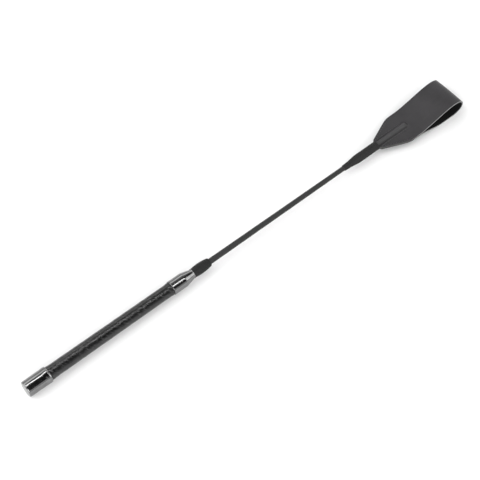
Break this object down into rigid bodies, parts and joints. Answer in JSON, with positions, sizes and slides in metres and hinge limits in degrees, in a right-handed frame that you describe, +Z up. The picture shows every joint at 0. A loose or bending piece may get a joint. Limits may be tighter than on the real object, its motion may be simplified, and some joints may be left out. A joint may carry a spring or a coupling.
{
  "type": "riding crop",
  "caption": "Slim riding crop with a metal butt cap and collar, a leatherette grip, a braided springy shaft and a folded leather keeper.",
  "frame": {"origin": "on the table below the middle of the crop's bounding box; the table is z = 0", "axes": "+X along the crop from the butt cap to the keeper's fold, +Y across the keeper, +Z up from the table on which it lies"},
  "size_m": [0.61, 0.0426, 0.0228],
  "materials": {
    "dark_metal": "polished dark nickel plate",
    "nylon": "matte",
    "foam": "soft matte",
    "grip_leatherette": "satin, fine wrinkled grain",
    "glass_fibre": "smooth",
    "braid": "tight braid",
    "thread": "waxed wound thread",
    "tape": "matte",
    "rubber": "matte",
    "keeper_leather": "smooth semi-matte"
  },
  "bodies": {
    "handle": {"butt_cap": "dark_metal", "cap_bush": "nylon", "butt_plug": "nylon", "handle_tube": "nylon", "rod_bush_rear": "nylon", "rod_bush_front": "nylon", "grip_padding": "foam", "grip_wrap": "grip_leatherette", "collar": "dark_metal", "collar_bush": "nylon", "core_rod_handle": "glass_fibre", "braid_handle": "braid", "handle_whipping": "thread", "whipping_filler": "tape"},
    "shaft_lower": {"core_rod_lower": "glass_fibre", "braid_lower": "braid"},
    "shaft_upper": {"core_rod_upper": "glass_fibre", "braid_upper": "braid"},
    "shaft_tip": {"core_rod_tip": "glass_fibre", "braid_tip": "braid", "tip_whipping_lead": "thread", "tip_whipping": "thread", "tip_filler": "tape", "rod_end_cap": "rubber", "keeper_top_ply": "keeper_leather", "keeper_bottom_ply": "keeper_leather", "keeper_stitching": "thread"},
    "keeper_end": {"keeper_loop": "keeper_leather"}
  },
  "joints": [
    {"name": "shaft_flex_1", "type": "hinge", "parent": "handle", "child": "shaft_lower", "pos_m": [-0.031, 0, 0.0094], "axis": [0, 1, 0], "range_deg": [-10, 10], "stiffness_Nm_per_rad": 12},
    {"name": "shaft_flex_2", "type": "hinge", "parent": "shaft_lower", "child": "shaft_upper", "pos_m": [0.0348, 0, 0.0094], "axis": [0, 1, 0], "range_deg": [-10, 10], "stiffness_Nm_per_rad": 10},
    {"name": "shaft_flex_3", "type": "hinge", "parent": "shaft_upper", "child": "shaft_tip", "pos_m": [0.1006, 0, 0.0094], "axis": [0, 1, 0], "range_deg": [-10, 10], "stiffness_Nm_per_rad": 8},
    {"name": "keeper_flap", "type": "hinge", "parent": "shaft_tip", "child": "keeper_end", "pos_m": [0.2405, 0, 0.0094], "axis": [0, 1, 0], "range_deg": [-40, 40], "stiffness_Nm_per_rad": 0.5}
  ],
  "couplings": [
    {"joint": "shaft_flex_2", "follows": "shaft_flex_1", "ratio": 1},
    {"joint": "shaft_flex_3", "follows": "shaft_flex_1", "ratio": 1}
  ]
}
